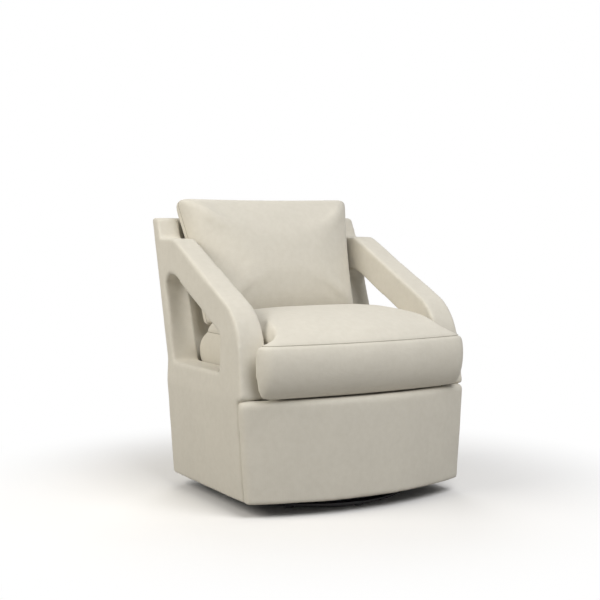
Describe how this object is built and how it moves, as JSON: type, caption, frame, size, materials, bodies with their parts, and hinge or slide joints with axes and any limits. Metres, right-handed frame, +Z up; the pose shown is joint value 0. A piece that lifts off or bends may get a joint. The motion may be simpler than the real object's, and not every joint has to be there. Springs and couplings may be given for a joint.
{
  "type": "swivel armchair",
  "caption": "Upholstered swivel armchair with open sloping arms, a bowed front, a crowned seat cushion, a loose back pillow and a hidden ring base.",
  "frame": {"origin": "on the floor under the middle of the chair's overall box, the underside of the glides", "axes": "+Z up, -Y towards the chair's front, +X towards the sitter's left, which is the right as seen from the front"},
  "size_m": [0.7, 0.7224, 0.8256],
  "materials": {
    "upholstery": "pale oatmeal plain weave",
    "deck_cloth": "plain decking cloth on a pad",
    "dust_cloth": "black non-woven cloth",
    "webbing": "elastic webbing",
    "timber": "planed hardwood, unfinished",
    "spring_steel": "drawn wire",
    "bearing_steel": "zinc plated",
    "black_steel": "satin black",
    "glide_plastic": "moulded"
  },
  "bodies": {
    "swivel_base": {"floor_ring": "black_steel", "ring_glides": "glide_plastic", "ring_spokes": "black_steel", "lower_swivel_plate": "bearing_steel", "lower_race": "bearing_steel", "bearing_balls": "bearing_steel", "ball_cage": "bearing_steel", "swivel_pin": "bearing_steel", "spoke_bolts": "bearing_steel", "spoke_nuts": "bearing_steel"},
    "chair": {"front_panel": "upholstery", "arm_cover_right": "upholstery", "arm_cover_left": "upholstery", "inside_back": "upholstery", "outside_back": "upholstery", "seat_deck": "deck_cloth", "swivel_board": "timber", "corner_blocks": "timber", "front_rail": "timber", "back_rail": "timber", "side_rail_right": "timber", "side_rail_left": "timber", "back_lower_rail": "timber", "back_top_rail": "timber", "arm_sill_right": "timber", "arm_sill_left": "timber", "front_post_right": "timber", "front_post_left": "timber", "arm_rail_right": "timber", "arm_rail_left": "timber", "back_post_right": "timber", "back_post_left": "timber", "seat_springs": "spring_steel", "spring_clips": "spring_steel", "back_webbing": "webbing", "dust_cover": "dust_cloth", "upper_race": "bearing_steel", "upper_swivel_plate": "bearing_steel", "swivel_bolts": "bearing_steel", "swivel_nuts": "bearing_steel"},
    "seat_cushion": {"seat_cushion": "upholstery"},
    "back_pillow": {"back_pillow": "upholstery"}
  },
  "joints": [
    {"name": "swivel", "type": "hinge", "parent": "swivel_base", "child": "chair", "pos_m": [0, -0.022, 0], "axis": [0, 0, 1], "continuous": true},
    {"name": "seat_cushion_out", "type": "slide", "parent": "chair", "child": "seat_cushion", "axis": [0, -1, 0], "range_m": [0, 0.5]},
    {"name": "back_pillow_out", "type": "slide", "parent": "chair", "child": "back_pillow", "axis": [0, 0.3256, 0.9455], "range_m": [0, 0.36]}
  ]
}
